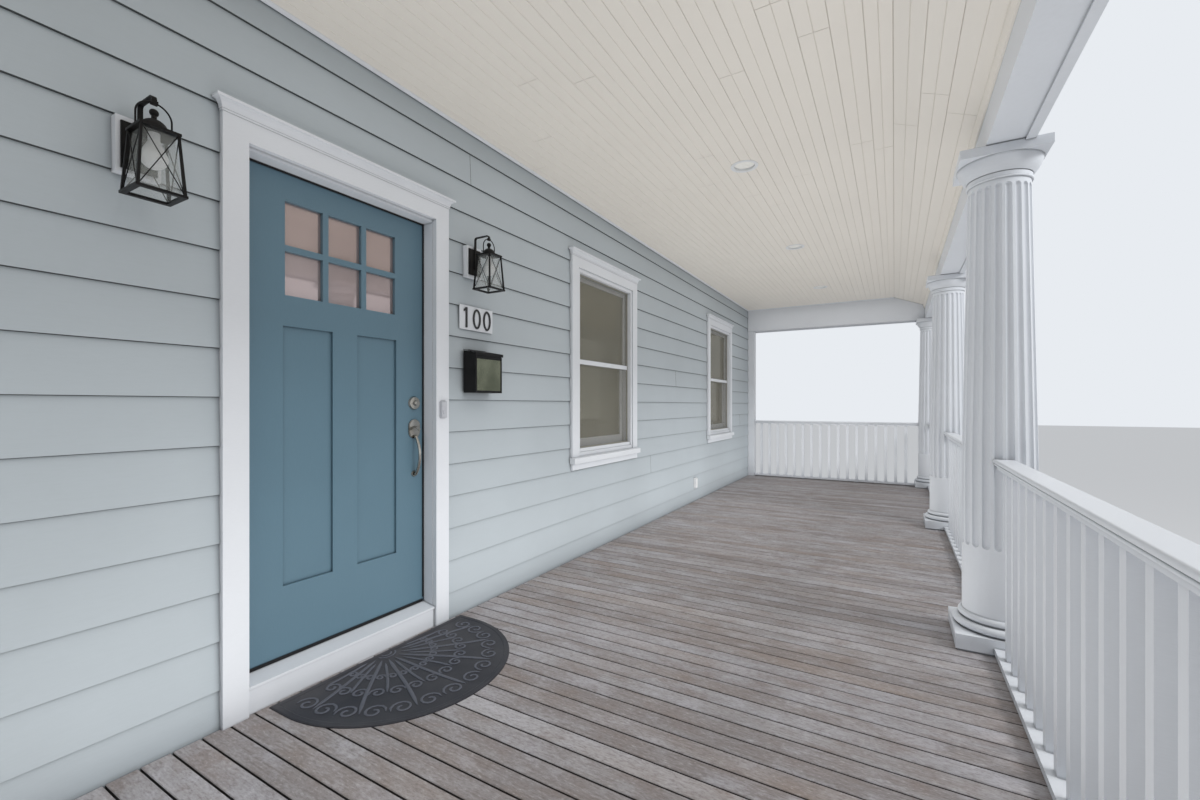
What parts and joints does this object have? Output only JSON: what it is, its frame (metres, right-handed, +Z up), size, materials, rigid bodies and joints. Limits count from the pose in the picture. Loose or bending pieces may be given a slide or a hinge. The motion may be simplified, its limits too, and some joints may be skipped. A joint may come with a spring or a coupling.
{
  "type": "front porch",
  "caption": "Covered front porch with fluted columns, railings, boarded deck and ceiling, and the house wall with its door and windows.",
  "frame": {"origin": "on the ground, under the middle of the whole porch", "axes": "+X along the porch, +Y from the street towards the house, +Z up"},
  "size_m": [11.52, 3, 4.6784],
  "materials": {
    "masonry": "rough concrete",
    "framing_timber": "sawn",
    "deck_boards": "weathered, unpainted",
    "siding_paint": "satin paint",
    "ceiling_paint": "satin paint",
    "white_trim": "satin paint",
    "shingles": "mineral granules",
    "door_paint": "satin paint",
    "glass": "clear",
    "nickel": "satin",
    "black_metal": "satin powder coat",
    "screen_mesh": "woven screen in a slim frame",
    "white_plastic": "smooth",
    "rubber_mat": "matt"
  },
  "bodies": {
    "porch": {"foundation_wall": "masonry", "porch_piers": "masonry", "deck_frame": "framing_timber", "deck_joists": "framing_timber", "deck_floor": "deck_boards", "deck_skirt": "white_trim", "wall_near": "siding_paint", "wall_over_door": "siding_paint", "wall_far": "siding_paint", "end_pilasters": "white_trim", "column_bases": "white_trim", "column_shaft_1": "white_trim", "column_shaft_2": "white_trim", "column_shaft_3": "white_trim", "column_shaft_4": "white_trim", "column_shaft_5": "white_trim", "column_capitals": "white_trim", "front_beam": "white_trim", "end_beams": "white_trim", "front_frieze": "white_trim", "end_friezes": "white_trim", "ceiling_flat": "ceiling_paint", "ceiling_slope": "ceiling_paint", "crown_trim": "white_trim", "roof_ends": "siding_paint", "roof_frame": "framing_timber", "roof_covering": "shingles", "eave_trim": "white_trim", "railing_bay_2": "white_trim", "railing_bay_3": "white_trim", "railing_bay_4": "white_trim", "railing_near_end": "white_trim", "railing_far_end": "white_trim", "door_frame": "white_trim", "door_casing": "white_trim", "door_threshold": "white_trim", "door_hinges": "nickel", "window_frame_1": "white_trim", "window_frame_2": "white_trim", "window_sashes": "white_trim", "window_glass": "glass", "window_screens": "screen_mesh", "recessed_lights": "white_plastic", "lantern_blocks": "white_trim", "lantern_1": "black_metal", "lantern_2": "black_metal", "lantern_glass": "glass", "lantern_bulbs": "white_plastic", "house_number_plaque": "white_trim", "mailbox_body": "black_metal", "doorbell": "white_plastic", "outlet_cover": "white_plastic", "doormat": "rubber_mat"},
    "door": {"front_door": "door_paint", "door_glass": "glass", "door_handle_set": "nickel", "door_grip": "nickel", "door_deadbolt": "nickel"},
    "lid": {"mailbox_lid": "black_metal"}
  },
  "joints": [
    {"name": "front_door_hinge", "type": "hinge", "parent": "porch", "child": "door", "pos_m": [-2.182, 1.44, 1.9], "axis": [0, 0, 1], "range_deg": [0, 95]},
    {"name": "mailbox_lid_hinge", "type": "hinge", "parent": "porch", "child": "lid", "pos_m": [-0.95, 1.302, 2.256], "axis": [-1, 0, 0], "range_deg": [0, 90]}
  ]
}
